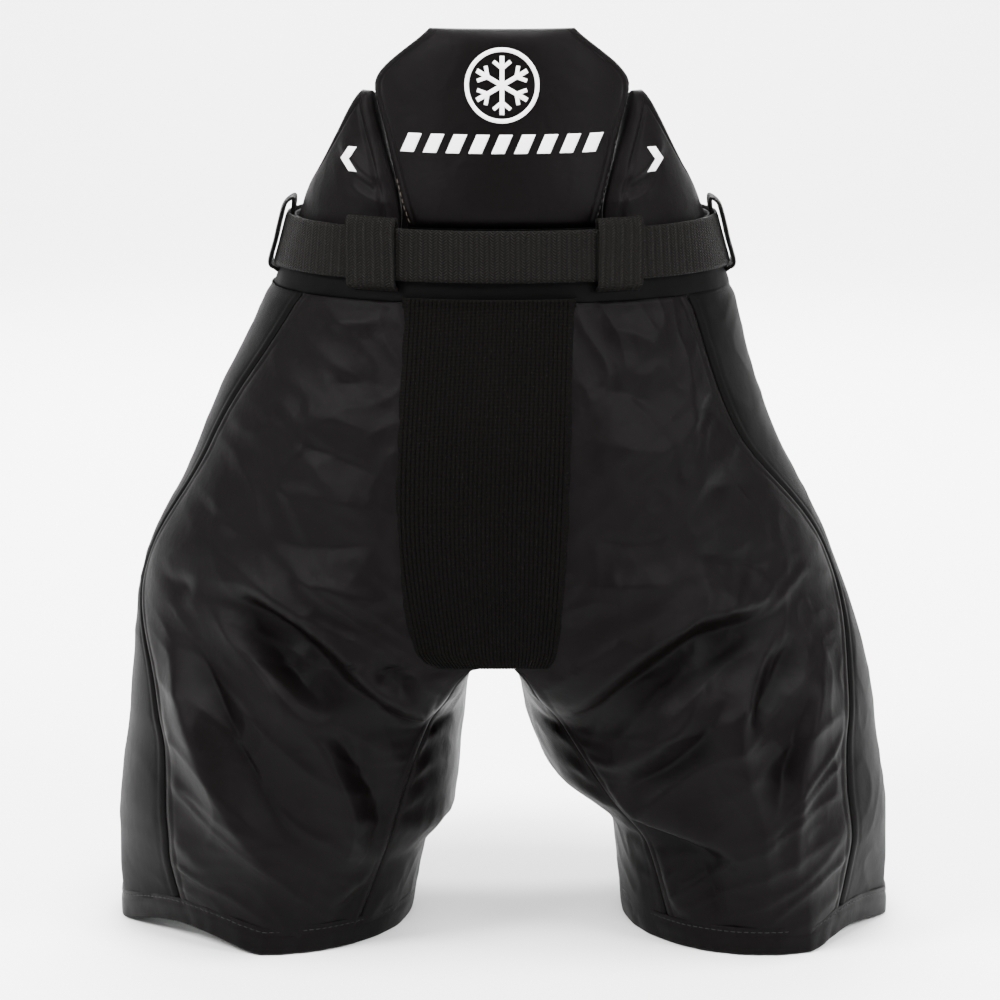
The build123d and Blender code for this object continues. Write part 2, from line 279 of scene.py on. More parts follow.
class Shader:
    """Builds a node material with a few short calls. Lengths are in metres."""

    def __init__(self, name):
        self.material = bpy.data.materials.new(name)
        self.material.use_nodes = True
        self.tree = self.material.node_tree
        self.surface = self.tree.nodes["Principled BSDF"]
        places = self.add("ShaderNodeTexCoord").outputs
        self.cloth, self.space = places["UV"], places["Object"]

    def put(self, socket, value):
        if isinstance(value, bpy.types.NodeSocket):
            self.tree.links.new(value, socket)
        else:
            socket.default_value = value

    def add(self, kind, **inputs):
        made = self.tree.nodes.new(kind)
        for key, value in inputs.items():
            self.put(made.inputs[key], value)
        return made

    def set(self, **values):
        for key, value in values.items():
            self.put(self.surface.inputs[key.replace("_", " ")], value)

    def math(self, kind, a, b=0.0, c=0.0):
        made = self.tree.nodes.new("ShaderNodeMath")
        made.operation = kind
        for socket, value in zip(made.inputs, (a, b, c)):
            self.put(socket, value)
        return made.outputs[0]

    def axis(self, where, name):
        return self.add("ShaderNodeSeparateXYZ", Vector=where).outputs[name]

    def noise(self, where, scale, detail=2.0, rough=0.5):
        made = self.add("ShaderNodeTexNoise", Vector=where, Scale=scale, Detail=detail,
                        Roughness=rough)
        return made.outputs["Fac"]

    def ridges(self, value, pitch):
        """Sine ridges from 0 to 1 along a length, with that pitch."""
        turned = self.math("MULTIPLY", value, 2 * math.pi / pitch)
        return self.math("MULTIPLY_ADD", self.math("SINE", turned), 0.5, 0.5)

    def mix_colour(self, factor, low, high):
        made = self.tree.nodes.new("ShaderNodeMix")
        made.data_type = "RGBA"
        for socket, value in ((0, factor), (6, rgba(low)), (7, rgba(high))):
            self.put(made.inputs[socket], value)
        return made.outputs[2]

    def span(self, value, low, high):
        """Maps 0..1 to low..high."""
        return self.math("MULTIPLY_ADD", value, high - low, low)

    def bump(self, layers):
        """Stacks (height, distance) layers of bump."""
        normal = None
        for height, distance in layers:
            made = self.add("ShaderNodeBump", Height=height, Strength=0.8, Distance=distance)
            if normal is not None:
                self.put(made.inputs["Normal"], normal)
            normal = made.outputs[0]
        self.set(Normal=normal)


def nylon(name, low, high, rough, crinkle=1.0, gloss=0.04):
    """Satin woven nylon: fine plain weave, cloudy colour and roughness, small crinkles."""
    s = Shader(name)
    cloud = s.noise(s.space, 24.0, 3.0)
    warp, weft = (s.ridges(s.axis(s.cloth, axis), 0.00055) for axis in "XY")
    small = s.noise(s.space, 330.0, 4.0, 0.6)
    middle = s.noise(s.space, 90.0, 3.0, 0.55)
    s.set(Base_Color=s.mix_colour(cloud, low, high), Specular_IOR_Level=gloss)
    s.set(Roughness=s.span(cloud, rough - 0.05, rough + 0.06))
    s.bump([(middle, 0.0005 * crinkle), (small, 0.00011 * crinkle),
            (s.math("MULTIPLY", warp, weft), 0.00006)])
    return s.material


def knit(name, low, high):
    """Ribbed elastic knit: lengthwise cords with short cross stitches between them."""
    s = Shader(name)
    cross = s.ridges(s.axis(s.cloth, "Y"), 0.0016)
    fine = s.ridges(s.axis(s.cloth, "X"), 0.00075)
    fuzz = s.noise(s.cloth, 2600.0)
    s.set(Base_Color=s.mix_colour(s.noise(s.space, 40.0), low, high))
    s.set(Roughness=0.86, Specular_IOR_Level=0.04)
    s.bump([(cross, 0.00014), (fine, 0.00012), (fuzz, 0.0001)])
    return s.material


def webbing(name, low, high, column=0.0025, yarn_pitch=0.0014):
    """Woven belt webbing: columns of yarns that slant one way and then the other. Its colour follows
    the yarn relief, with painted highlights on the yarn crests and painted shade in the grooves.
    """
    s = Shader(name)
    x, y = (s.axis(s.cloth, axis) for axis in "XY")
    turn = s.math("SINE", s.math("MULTIPLY", x, math.pi / column))
    pick = s.add("ShaderNodeMix", Factor=s.math("MULTIPLY_ADD", s.math("SIGN", turn), 0.5, 0.5))
    for socket, slope in ((2, 0.7), (3, -0.7)):
        slanted = s.math("MULTIPLY_ADD", x, slope, y)
        s.put(pick.inputs[socket], s.ridges(slanted, yarn_pitch))
    # Lowers the grooves between the columns in the relief, and darkens them in the colour as painted
    # shade.
    column_grooves_and_painted_shade = s.math("MULTIPLY_ADD", s.ridges(x, column), -0.8, 1.0)
    yarn_relief_and_painted_light = s.math("MULTIPLY", pick.outputs[0], column_grooves_and_painted_shade)
    # The colour follows the yarn relief: painted highlights on the yarn crests and painted shade in
    # the grooves between yarns and columns.
    s.set(Base_Color=s.mix_colour(yarn_relief_and_painted_light, low, high), Roughness=0.62, Specular_IOR_Level=0.04)
    s.bump([(yarn_relief_and_painted_light, 0.0007), (s.noise(s.cloth, 3000.0), 0.00008)])
    return s.material


def soft_cloth(name, low, high, rough, pitch=0.0009, depth=0.00012):
    """Tricot lining, tape, thread and other plain close cloth."""
    s = Shader(name)
    tone = s.noise(s.space, 60.0, 3.0)
    x, y, z = (s.axis(s.space, axis) for axis in "XYZ")
    rows, courses = s.ridges(s.math("ADD", x, y), pitch), s.ridges(z, pitch)
    s.set(Base_Color=s.mix_colour(tone, low, high), Roughness=rough)
    s.set(Sheen_Weight=0.02, Sheen_Roughness=0.5, Specular_IOR_Level=0.2)
    s.bump([(tone, 0.0006), (s.math("MULTIPLY", rows, courses), depth)])
    return s.material


def foam(name, low, high):
    s = Shader(name)
    cells = s.add("ShaderNodeTexVoronoi", Vector=s.space, Scale=900.0).outputs["Distance"]
    s.set(Base_Color=s.mix_colour(cells, low, high), Roughness=0.9)
    s.bump([(cells, 0.0003)])
    return s.material


def moulded(name, low, high, rough):
    """Moulded plastic with a faint spark-eroded grain and rubbed patches."""
    s = Shader(name)
    worn = s.noise(s.space, 120.0, 3.0)
    s.set(Base_Color=s.mix_colour(worn, low, high), Specular_IOR_Level=0.1)
    s.set(Roughness=s.span(worn, rough - 0.06, rough + 0.08))
    s.bump([(s.noise(s.space, 2200.0), 0.00004)])
    return s.material


def steel(name):
    """Bare metal with fine lines across its height."""
    s = Shader(name)
    stretched = s.add("ShaderNodeMapping", Vector=s.space, Scale=(60, 60, 4000)).outputs[0]
    lines = s.noise(stretched, 1.0)
    s.set(Base_Color=(0.55, 0.55, 0.56, 1), Metallic=1.0, Roughness=s.span(lines, 0.22, 0.4))
    s.bump([(lines, 0.00002)])
    return s.material


def printed(name):
    """Screen print with small worn specks."""
    s = Shader(name)
    wear = s.noise(s.space, 420.0, 4.0, 0.65)
    s.set(Base_Color=s.mix_colour(wear, 0.72, 0.86), Roughness=0.55)
    s.bump([(wear, 0.00012)])
    return s.material


LOOKS = {
    "nylon": nylon("nylon_black", (0.0007, 0.0004, 0.0004), (0.0013, 0.0009, 0.0009), 0.47),
    "nylon_side": nylon("nylon_side", (0.0006, 0.0005, 0.0005), (0.0012, 0.001, 0.001), 0.54, 0.7,
                        0.025),
    # The waistband's nylon is a darker copy of the shell nylon: painted shade of its recess between
    # the belt and the shell.
    "waist_nylon_painted_shade": nylon("waist_nylon_painted_shade", (0.0004, 0.0003, 0.0003), (0.0006, 0.0005, 0.0005), 0.7, 0.5),
    "stretch_knit": knit("ribbed_knit", (0.0005, 0.0004, 0.0003), (0.0009, 0.0007, 0.0006)),
    # The webbing is black; its colour runs from painted shade in the grooves to painted highlight on
    # the yarn crests.
    "webbing": webbing("belt_webbing_weave_painted_light", 0.0002, (0.0062, 0.0053, 0.0045)),
    "hem_tape": soft_cloth("hem_tape_cloth", (0.03, 0.026, 0.022), (0.05, 0.045, 0.038), 0.8),
    "mesh_lining": soft_cloth("tricot_lining", 0.002, 0.0034, 0.8),
    "foam": foam("closed_cell_foam", (0.05, 0.05, 0.052), (0.09, 0.09, 0.092)),
    "plate": moulded("guard_plate", (0.03, 0.03, 0.032), (0.045, 0.045, 0.047), 0.5),
    "buckle_plastic": moulded("buckle_plastic", 0.0016, 0.0028, 0.42),
    "steel": steel("pin_steel"),
    "print_white": printed("white_print"),
    "hook_loop": soft_cloth("hook_and_loop", 0.002, 0.004, 0.9, 0.0014, 0.0004),
    "pale_thread": soft_cloth("pale_sewing_thread", (0.03, 0.023, 0.017), (0.05, 0.04, 0.03), 0.6,
                              0.0006, 0.00005),
    "thread": soft_cloth("sewing_thread", (0.0012, 0.001, 0.0009), (0.002, 0.0017, 0.0015), 0.6,
                         0.0006, 0.00005),
}
# Looks whose slot has another name.
SLOTS = dict.fromkeys(("nylon_side", "waist_nylon_painted_shade", "thread", "pale_thread"), "nylon")


def wear(obj, look):
    obj.data.materials.clear()
    obj.data.materials.append(LOOKS[look])


def dress(obj, look, *nodes, body=None, fill=None):
    """Gives a piece its material, hides the CAD nodes that it replaces and attaches it to what it
    rides on. Its padding, fill, is not used.
    """
    wear(obj, look)
    if nodes:
        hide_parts(*nodes)
    if body:
        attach(obj, body)
    return obj


# ---- shell shape
# The outer outline is shared. Each side then stands out (or in, below zero) by an amount round
# a height, with a spread, as the stuffed cloth slumps.
OUTER = [(0, HEM_SIZE[0]), (50, 197), (100, 190), (144, 184), (HIP_Z, HIP_SIZE[0]),
         (250, SEAT_SIZE[0]), (BAND_Z[0], WAIST_SIZE[0])]
DEPTH = curve([(0, HEM_SIZE[1]), (50, 88), (100, 94), (144, CROTCH_SIZE[1]),
               (HIP_Z, HIP_SIZE[1]), (250, SEAT_SIZE[1]), (BAND_Z[0], WAIST_SIZE[1])])
# slump: amount, height, spread. inner: inner outline of the leg. edge: seam at the back of the
# inner thigh. seam: angle of the seam between back and side panels, from the wearer's side.
OUTLINES = {
    "left": {
        "slump": [(7, 190, 40), (5, 265, 35), (-4, 0, 60)],
        "inner": [(0, HEM_INNER - 4), (40, 40), (60, 25), (100, 21), (149, 15)],
        "edge": [(0, 77), (50, 59), (100, 43), (130, 29), (149, 17), (153, 0)],
        "seam": [(0, 52), (100, 43), (180, 8), (250, 16), (330, 32)],
    },
    "right": {
        "slump": [(-6, 200, 50), (-7, 270, 45), (-2, 0, 60)],
        "inner": [(0, HEM_INNER + 11), (50, 58), (80, 25), (110, 13), (149, 6)],
        "edge": [(0, 87), (50, 74), (80, 53), (130, 20), (149, 9), (153, 0)],
        "seam": [(0, 51), (100, 38), (190, 10), (260, 30), (330, 37)],
    },
}
FRONT_SEAM = curve([(0, -50), (180, -30), (330, -38)])
# Where the hem is drawn in and lifted: from and to these angles, how far in, how far up.
HEM_PULL = {"left": (12, 92, 11.0, 9.0), "right": (8, 70, 9.0, 5.0)}
FORK = (112.0, 178.0)     # the legs part between these heights
HEM_CENTRE_X = 125.0      # the hem is drawn in towards this line
LEG_LINE_X, INNER_LINE_X = 70.0, 110.0      # lines inside a leg, seen from the shell and the thigh


class Half:
    """One side of the shell. Angles go from 0 at the wearer's side to 90 at the middle back."""

    def __init__(self, side):
        self.side, self.sign = side, SIDES[side]
        self.plain, self.slump = curve(OUTER), OUTLINES[side]["slump"]
        self.inner, self.edge, self.seam = (curve(OUTLINES[side][key])
                                            for key in ("inner", "edge", "seam"))

    def outer(self, z):
        """Half width of the outer outline at a height."""
        total = self.plain(z)
        for amount, height, spread in self.slump:
            total = total + amount * bell(z, height, spread)
        return total

    def section(self, z):
        """Centre and half width of the oval that the cloth follows at a height."""
        outer = self.outer(z)
        middle = (outer + self.inner(z)) / 2 * smooth(FORK[1], FORK[0], z)
        return middle, outer - middle

    def end(self, z):
        """The angle where the back panel meets the inner thigh, or the middle of the back."""
        middle, reach = self.section(z)
        return np.degrees(np.arccos(np.clip((self.edge(z) - middle) / reach, -1, 1)))

    def spans(self, z):
        """The angles where each panel starts and ends at a height."""
        end, seam, front = self.end(z), self.seam(z), FRONT_SEAM(z)
        return {"front": (-end, front), "side": (front, seam), "back": (seam, end)}

    def outward(self, points):
        """Level arrows to the points from a line inside the leg, or the waist's own above it."""
        line = self.sign * LEG_LINE_X * smooth(FORK[1], FORK[0], points[..., 2])
        return np.stack([points[..., 0] - line, points[..., 1], 0 * line], -1)

    def place(self, x, y, z, q):
        """Mirrors a point to its side, and draws it in and up where the hem is pulled."""
        low, high, pull, lift = HEM_PULL[self.side]
        middle, spread = (low + high) / 2, (high - low) / 2
        there = np.clip(1 - ((q - middle) / spread) ** 2, 0, 1) ** 1.2
        reach = np.hypot(x - HEM_CENTRE_X, y)
        shrink = 1 - pull * smooth(75, 0, z) * there / np.maximum(reach, 1)
        x, y = HEM_CENTRE_X + (x - HEM_CENTRE_X) * shrink, y * shrink
        return np.stack([self.sign * x, y, z + lift * smooth(60, 0, z) * there], -1)

    def around(self, q, z):
        """Points of the outer shell at those angles and heights."""
        q, z = np.broadcast_arrays(np.asarray(q, float), np.asarray(z, float))
        middle, reach = self.section(z)
        turn = np.radians(q)
        return self.place(middle + reach * np.cos(turn), -DEPTH(z) * np.sin(turn), z, q)

    def inside(self, v, z):
        """Points of the inner thigh; v is -1 at its back seam and 1 at its front seam."""
        v, z = np.broadcast_arrays(np.asarray(v, float), np.asarray(z, float))
        end = np.radians(self.end(z))
        flat = np.abs(np.cos(end))
        swell = (np.sqrt(1 - (v * np.sin(end)) ** 2) - flat) / (1 - flat)
        edge = self.edge(z)
        x = edge - (edge - self.inner(z)) * swell
        return self.place(x, DEPTH(z) * np.sin(end) * v, z, 180 - 90 * (1 - np.abs(v)))


HALVES = {side: Half(side) for side in SIDES}


# ---- folds
def spline(points, per=6):
    """A smooth path through given points."""
    p = np.asarray(points, float)
    ends = np.concatenate([[2 * p[0] - p[1]], p, [2 * p[-1] - p[-2]]])
    made = []
    for a, b, c, d in zip(ends, ends[1:], ends[2:], ends[3:]):
        t = np.linspace(0, 1, per, endpoint=False)[:, None]
        made.append(0.5 * (2 * b + (c - a) * t + (2 * a - 5 * b + 4 * c - d) * t**2
                           + (3 * b - a - 3 * c + d) * t**3))
    return np.concatenate(made + [p[-1:]])


def to_path(x, z, path):
    """Distance to a path, which side of it (positive on the left of its way), place along it 0..1."""
    steps = np.diff(path, axis=0)
    lengths = np.linalg.norm(steps, axis=1)
    start = np.concatenate([[0], np.cumsum(lengths)])
    best = np.full(x.shape, 1e9)
    way = np.zeros(x.shape)
    along = np.zeros(x.shape)
    for (px, pz), (sx, sz), length, first in zip(path, steps, lengths, start):
        t = np.clip(((x - px) * sx + (z - pz) * sz) / length**2, 0, 1)
        dx, dz = x - px - t * sx, z - pz - t * sz
        distance = np.hypot(dx, dz)
        nearer = distance < best
        best = np.where(nearer, distance, best)
        way = np.where(nearer, np.sign(sx * dz - sz * dx), way)
        along = np.where(nearer, (first + t * length) / start[-1], along)
    return best, way, along


def fold(x, z, height, left, right, points, ends=0.38):
    """A ridge (or valley) along a path: widths on its left and right, fading at its ends."""
    distance, way, along = to_path(x, z, spline(points))
    width = np.where(way > 0, left, right)
    fade = smooth(0, ends, along) * smooth(1, 1 - ends, along)
    broad = np.exp(-((distance / width) ** 2) ** 0.85)
    crest = np.exp(-((distance / (0.42 * width)) ** 2 + 0.02) ** 0.6)
    return height * fade * (0.66 * broad + 0.42 * crest)


def pocket(x, z, height, cx, cz, rx, rz):
    return height * np.exp(-(((x - cx) / rx) ** 2 + ((z - cz) / rz) ** 2))


# Each row: height, width on the left of the path, width on its right, points of the path.
# Paths that run towards the middle of the back have their upper side on the left.
BACK_FOLDS = {
    "left": [
        (6.0, 17, 9, [(-150, 187), (-124, 187), (-99, 173), (-77, 157), (-60, 140), (-38, 128),
                      (-22, 118)]),
        (-8.0, 7, 17, [(-140, 180), (-118, 176), (-94, 160), (-76, 143), (-55, 124), (-40, 112)]),
        (-6.0, 7, 9, [(-180, 188), (-166, 184), (-150, 181)]),
        (-5.0, 14, 9, [(-66, 152), (-51, 143), (-40, 134)]),
        (6.5, 16, 12, [(-172, 172), (-161, 143), (-149, 112), (-134, 78), (-115, 47), (-96, 22)]),
        (-4.5, 11, 13, [(-158, 176), (-147, 150), (-133, 118), (-116, 84), (-98, 52)]),
        (4.5, 12, 12, [(-146, 176), (-125, 153), (-102, 130), (-84, 112)]),
        (-4.0, 9, 9, [(-122, 166), (-100, 144), (-82, 122)]),
        (4.0, 10, 9, [(-100, 128), (-84, 98), (-76, 66), (-84, 32)]),
        (-3.5, 9, 9, [(-88, 126), (-70, 96), (-60, 70), (-66, 40)]),
        (3.5, 9, 7, [(-24, 80), (-46, 56), (-70, 37), (-92, 20)]),
        (-3.5, 7, 9, [(-30, 66), (-50, 44), (-72, 26), (-90, 10)]),
        (3.0, 6, 5, [(-88, 313), (-70, 316), (-52, 318)]),
        (-2.6, 5, 6, [(-86, 286), (-70, 289), (-55, 289)]),
        (2.4, 7, 7, [(-100, 272), (-80, 270), (-56, 264)]),
        (-3.0, 7, 7, [(-108, 260), (-84, 254), (-57, 245)]),
        (3.0, 10, 9, [(-112, 236), (-86, 232), (-54, 228)]),
        (-4.2, 8, 8, [(-114, 210), (-86, 209), (-52, 214)]),
        (3.8, 8, 10, [(-110, 194), (-84, 190), (-50, 182)]),
        (-2.0, 6, 8, [(-156, 226), (-138, 216), (-122, 208)]),
        (2.4, 9, 9, [(-150, 252), (-140, 225), (-142, 200)]),
    ],
    "right": [
        (5.5, 9, 17, [(150, 182), (126, 178), (97, 174), (68, 159), (43, 139), (24, 122)]),
        (-7.0, 17, 7, [(140, 172), (120, 168), (94, 162), (68, 145), (46, 127), (34, 112)]),
        (7.0, 12, 12, [(143, 178), (128, 152), (116, 122), (118, 97), (126, 72), (131, 42),
                       (133, 15)]),
        (-6.0, 11, 10, [(146, 160), (131, 138), (118, 112)]),
        (-5.0, 10, 11, [(153, 136), (143, 105), (134, 76)]),
        (4.5, 10, 10, [(160, 160), (156, 132), (147, 100), (144, 66), (146, 30)]),
        (4.0, 12, 8, [(26, 112), (47, 84), (60, 77), (77, 71), (97, 65), (117, 53), (129, 38)]),
        (-6.0, 6, 13, [(33, 92), (50, 72), (77, 61), (97, 55), (117, 43)]),
        (4.0, 10, 10, [(104, 150), (88, 122), (66, 104), (40, 96)]),
        (-3.5, 9, 9, [(112, 138), (96, 112), (76, 94), (52, 84)]),
        (3.5, 9, 9, [(72, 60), (84, 36), (92, 14)]),
        (-3.0, 9, 9, [(92, 58), (104, 34), (112, 14)]),
        (-4.0, 10, 9, [(92, 276), (104, 270), (118, 262)]),
        (-4.5, 10, 10, [(96, 236), (114, 234), (134, 230)]),
        (-4.5, 9, 10, [(92, 206), (114, 200), (136, 192)]),
        (3.5, 11, 10, [(40, 262), (66, 256), (94, 254)]),
        (3.0, 10, 10, [(86, 318), (92, 280), (90, 240), (80, 204)]),
        (2.6, 7, 6, [(44, 316), (62, 312), (82, 300)]),
        (-2.4, 7, 7, [(40, 288), (58, 284), (78, 274)]),
        (-3.0, 8, 8, [(38, 216), (62, 212), (86, 214)]),
        (2.8, 9, 9, [(36, 192), (62, 192), (90, 192)]),
    ],
}


FOLD_SCALE = 1.75
FOLD_IN, FOLD_OUT = 9.5, 12.0     # the deepest and highest that a fold may go, in mm


def back_relief(side, x, z):
    """How far the back cloth stands out of the plain shell, in mm, from its folds."""
    total = np.zeros(x.shape)
    for height, left, right, points in BACK_FOLDS[side]:
        total = total + fold(x, z, height, left, right, points)
    for n in range(7 if side == "left" else 5):
        reach = 14 + 5 * ((n * 37) % 5) / 4
        centre = SIDES[side] * (27 + reach / 2)
        total = total + pocket(x, z, 1.5, centre, 84 + 7 * n, reach, 2.2)
    total = (0.7 + (FOLD_SCALE - 0.7) * smooth(212, 172, z)) * total
    return np.where(total < 0, FOLD_IN * np.tanh(total / FOLD_IN),
                    FOLD_OUT * np.tanh(total / FOLD_OUT))


def slanted_wrinkles(outward, z, seed):
    """Long wrinkles that run down and inward over the back of a leg, in mm."""
    slope = math.radians(38)
    along = outward * math.cos(slope) + z * math.sin(slope)
    across = z * math.cos(slope) - outward * math.sin(slope)
    long = creases(along / 75, across / 17, seed + 20) - 0.35
    return (0.5 + 1.1 * smooth(215, 175, z)) * long * smooth(8, 30, z)


def cloth_relief(x, y, z, seed, scale=1.0):
    """Small random unevenness of hanging cloth, in mm."""
    u = x + 0.35 * y
    broad = noise(u / 38, z / 46, seed)
    small = creases(u / 21, z / 27, seed + 9) - 0.35
    fine = noise(u / 8.5, z / 9.5, seed + 5)
    return scale * (broad + 0.75 * small + 0.16 * fine)


def edge_runs(points):
    """Distances along the rows of a grid from its two side edges."""
    step = np.linalg.norm(np.diff(points, axis=1), axis=-1)
    run = np.concatenate([np.zeros((len(points), 1)), np.cumsum(step, 1)], 1)
    return run, run[:, -1:] - run


def seam_relief(points):
    """Cloth sinks into the seams at the grid's side edges and swells beside the stitching."""
    total = np.zeros(points.shape[:-1])
    for distance in edge_runs(points):
        total += -1.0 * bell(distance, 0, 1.4) + 0.22 * bell(distance, 3.4, 1.6)
        total += -0.25 * bell(distance, 5.6, 1.1)
    return total


def off_floor(points):
    """Keeps the lower edge of the cloth just above the floor."""
    points[..., 2] = np.maximum(points[..., 2], FLOOR_GAP)
    return points


def relieve(points, amount, outward):
    """Moves a grid of points outward along its normals."""
    return off_floor(points + facing(normals(points), outward) * amount[..., None])


# Columns of the grid, noise seed and unevenness of each panel of the shell.
PANELS = {"back": (150, 1, 1.0), "side": (84, 2, 0.6), "front": (84, 3, 0.9)}
ROWS, INNER_ROWS, INNER_COLS = 215, 110, 74
STAND_OUT = 1.2           # how far the cloth stands out of the plain shell


def lay_under_fly(points):
    """Draws the front cloth flat against the waist oval where the fly covers it."""
    x, z = points[..., 0], points[..., 2]
    covered = (smooth(36, 26, np.abs(x)) * smooth(210, 222, z))[..., None]
    return points * (1 - covered) + on_waist(front_angle(x, z), z, 0.7) * covered


def panel_points(half, name):
    """The grid of one shell panel, rows from hem to waist."""
    cols, seed, scale = PANELS[name]
    seed += 10 if half.sign > 0 else 0
    rows = np.linspace(0, SHELL_TOP, ROWS)[:, None]
    low, high = half.spans(rows)[name]
    q = low + (high - low) * np.linspace(0, 1, cols)
    z = np.broadcast_to(rows, q.shape)
    points = half.around(q, z)
    x, y = points[..., 0], points[..., 1]
    near, far = edge_runs(points)
    inside = smooth(0.8, 11, near) * smooth(0.8, 11, far)
    relief = cloth_relief(x, y, z, seed, scale) * smooth(0, 12, z)
    if name == "back":
        folds = back_relief(half.side, x, z) + slanted_wrinkles(half.sign * x, z, seed)
        relief = (relief + smooth(14, 48, q) * folds) * smooth(140, 118, q)
    amount = seam_relief(points) + STAND_OUT + relief * inside
    if name == "back":
        covered = smooth(12, 0, np.where(x < 0, -x - 40, x - 23)) * smooth(146, 150, z)
        amount = amount * (1 - covered) + 0.2 * covered
    amount = amount - STAND_OUT * (smooth(SHELL_TOP - 7, SHELL_TOP, z) + smooth(30, 0, z))
    points = relieve(points, amount, half.outward(points))
    return lay_under_fly(points) if name == "front" else points


def inner_points(half):
    """The grid of one inner thigh panel, rows from hem to crotch."""
    z = np.linspace(0, CROTCH_Z, INNER_ROWS)[:, None]
    v = np.linspace(-1, 1, INNER_COLS)
    points = half.inside(v, z)
    x, y = points[..., 0], points[..., 1]
    near, far = edge_runs(points)
    pucker = np.sin(z / 2.3 + 2 * noise(y / 20, z / 20, 4)) * bell(np.abs(v), 1, 0.25)
    relief = 0.8 * pucker * smooth(20, 60, z) + cloth_relief(y, x, z, 6, 0.9)
    amount = seam_relief(points) + STAND_OUT + relief * smooth(0.8, 8, near) * smooth(0.8, 8, far)
    outward = points * (1, 1, 0) - (half.sign * INNER_LINE_X, 0, 0)
    return relieve(points, amount, outward)


def declare_sheet(points, wrap=False):
    """Works out the flat size of cloth from its grid: longest row, longest column and area, and keeps
    none of them.
    """
    if wrap:
        points = np.concatenate([points, points[:, :1]], 1)
    wide = np.linalg.norm(np.diff(points, axis=1), axis=-1).sum(1).max()
    long = np.linalg.norm(np.diff(points, axis=0), axis=-1).sum(0).max()
    a = points[1:, 1:] - points[:-1, :-1]
    b = points[1:, :-1] - points[:-1, 1:]
    area = np.linalg.norm(np.cross(a, b), axis=-1).sum() / 2
    area = min(area, wide * long)


def thicken(obj, thickness):
    """Gives a sheet its thickness, inward."""
    made = obj.modifiers.new("thickness", "SOLIDIFY")
    made.thickness, made.offset = thickness * MM, -1.0
    made.use_even_offset = False
    bpy.context.view_layer.update()
    graph = bpy.context.evaluated_depsgraph_get()
    mesh = bpy.data.meshes.new_from_object(obj.evaluated_get(graph), depsgraph=graph)
    obj.modifiers.clear()
    obj.data = mesh


def bend_at_hip(obj):
    """Bakes the transform of cloth that crosses the hip into its mesh; nothing bends it here."""
    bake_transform(obj)


PANEL_GRIDS = {}


def shell_panel(name, points, look, flip, node):
    """One panel of cloth from its grid."""
    obj = sheet_grid(name, points, flip=flip)
    thicken(obj, CLOTH)
    dress(obj, look, node)
    declare_sheet(points)
    bend_at_hip(obj)


def make_shell():
    for side, half in HALVES.items():
        mirrored = half.sign < 0
        for name in PANELS:
            points = panel_points(half, name)
            PANEL_GRIDS[name, side] = points
            shell_panel(f"{name}_panel_cloth_{side}", points,
                        "nylon_side" if name == "side" else "nylon", mirrored,
                        f"{name}_panel_{side}")
        shell_panel(f"inner_thigh_cloth_{side}", inner_points(half), "nylon", not mirrored,
                    f"inner_thigh_panel_{side}")


# ---- seat panel and gusset
SEAT_LEFT = curve([(147, -32), (160, -44), (230, -53), (331, -48)])
SEAT_RIGHT = curve([(147, 22), (160, 28), (230, 33), (331, 36)])
SEAT_FOOT, SEAT_HEAD = 151.0, 330.0
RIB_PITCH, RIBS = 2.1, 40


def back_point(x, z, out):
    """A point of the plain back, moved out by an amount in mm."""
    half_width = (HALVES["left"].outer(z) + HALVES["right"].outer(z)) / 2
    y = -DEPTH(z) * np.sqrt(np.clip(1 - (x / half_width) ** 2, 0.01, 1))
    return np.stack([x, y - out, np.broadcast_to(z, x.shape)], -1)


def make_seat_panel():
    z = np.linspace(SEAT_FOOT, SEAT_HEAD, 150)[:, None]
    s = np.linspace(0, 1, 400)[None, :]
    x = SEAT_LEFT(z) + (SEAT_RIGHT(z) - SEAT_LEFT(z)) * s
    z = np.broadcast_to(z, x.shape)
    rib = np.abs(np.sin(math.pi * s * RIBS)) ** 0.7
    edge = np.minimum(s, 1 - s) * RIBS * RIB_PITCH
    out = 2.7 + 0.85 * rib * smooth(1.5, 4.0, edge) + 0.5 * bell(z, 212, 40) * np.sin(math.pi * s)
    out = out + 0.35 * noise(x / 30, z / 40, 12) - 1.4 * smooth(2.2, 0, edge)
    out = out - 1.2 * smooth(SEAT_FOOT + 4, SEAT_FOOT, z)
    obj = closed_grid("seat_ribbed_panel", back_point(x, z, out),
                      back_point(x, z, out - 1.3 - 0.2 * rib))
    dress(obj, "stretch_knit", "seat_stretch_panel", body="waist")
    declare_sheet(back_point(x, z, 2.0))


def make_gusset():
    """The strip between the legs, arched from back to front."""
    v = np.linspace(-1, 1, 70)[:, None]
    s = np.linspace(-1, 1, 28)[None, :]
    ends = smooth(0.86, 1.0, np.abs(v))
    x = 15.0 * (1 - 0.5 * ends) * s
    y = v * (CROTCH_SIZE[1] - 1.5)
    z = CROTCH_Z + 0.6 + 4.5 * ends + 0.8 * (1 - s**2) + 0.4 * noise(x / 9, y / 12, 15)
    top = np.stack(np.broadcast_arrays(x, y, z), -1)
    obj = closed_grid("crotch_gusset_cloth", top, top - np.array([0, 0, 0.9]))
    dress(obj, "nylon", "crotch_gusset", body="waist")


# ---- bands round the legs
LOOP_COLS = {"front": 80, "side": 50, "back": 90, "inner": 60}


def leg_loop(half, z):
    """Rows of plain points all round one leg: front, side, back, inner thigh."""
    z = np.asarray(z, float)[:, None]
    parts = []
    for name, (low, high) in half.spans(z).items():
        t = np.linspace(0, 1, LOOP_COLS[name], endpoint=False)
        parts.append(half.around(low + (high - low) * t, z))
    v = np.linspace(-1, 1, LOOP_COLS["inner"], endpoint=False)
    return np.concatenate([*parts, half.inside(v, z)], 1)


